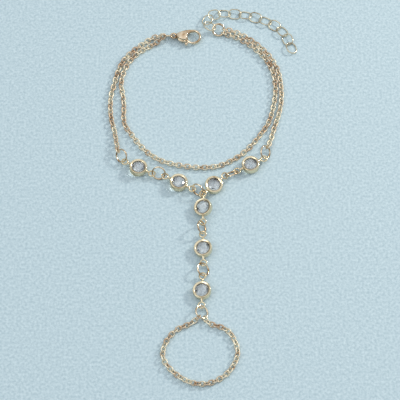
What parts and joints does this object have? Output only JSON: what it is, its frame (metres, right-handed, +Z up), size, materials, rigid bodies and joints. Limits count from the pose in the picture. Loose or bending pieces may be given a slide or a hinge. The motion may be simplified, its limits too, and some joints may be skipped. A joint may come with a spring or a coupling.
{
  "type": "hand chain bracelet",
  "caption": "Fine cable-chain bracelet joined to a finger loop by bezel-set round clear stones in a Y, with a lobster clasp and an extender chain, laid out flat and open.",
  "frame": {"origin": "centre of the bounding box's base, on the surface that the bracelet lies on", "axes": "+X across the layout, +Y from the finger loop towards the clasp, +Z up"},
  "size_m": [0.0685, 0.1472, 0.0048],
  "materials": {
    "warm_gold": "polished gold plate",
    "chain_gold": "polished gold plate",
    "bezel_gold": "polished gold plate",
    "pale_gold": "polished pale gold plate",
    "crystal": "cut and polished"
  },
  "bodies": {
    "bracelet": {"clasp_body": "warm_gold", "clasp_ring": "warm_gold", "end_ring": "warm_gold", "wrist_chain": "chain_gold", "side_chain_left": "chain_gold", "side_chain_right": "chain_gold", "finger_chain": "chain_gold", "jump_ring_1": "warm_gold", "jump_ring_2": "warm_gold", "jump_ring_3": "warm_gold", "jump_ring_4": "warm_gold", "jump_ring_5": "warm_gold", "jump_ring_6": "warm_gold", "jump_ring_7": "warm_gold", "jump_ring_8": "warm_gold", "bezel_1": "bezel_gold", "bezel_2": "bezel_gold", "bezel_3": "bezel_gold", "bezel_4": "bezel_gold", "bezel_5": "bezel_gold", "bezel_6": "bezel_gold", "bezel_7": "bezel_gold", "crystal_1": "crystal", "crystal_2": "crystal", "crystal_3": "crystal", "crystal_4": "crystal", "crystal_5": "crystal", "crystal_6": "crystal", "crystal_7": "crystal", "extender_link_1": "pale_gold", "extender_link_2": "pale_gold", "extender_link_3": "pale_gold", "extender_link_4": "pale_gold", "extender_link_5": "pale_gold", "extender_link_6": "pale_gold", "extender_link_7": "pale_gold", "extender_link_8": "pale_gold", "extender_link_9": "pale_gold", "extender_link_10": "pale_gold", "extender_link_11": "pale_gold", "extender_link_12": "pale_gold"},
    "lever": {"clasp_lever": "warm_gold"}
  },
  "joints": [
    {"name": "lever_hinge", "type": "hinge", "parent": "bracelet", "child": "lever", "pos_m": [-0.00705, 0.0608, 0.00135], "axis": [0, 0, 1], "range_deg": [0, 25], "stiffness_Nm_per_rad": 0.0005, "springref_deg": -17.19}
  ]
}
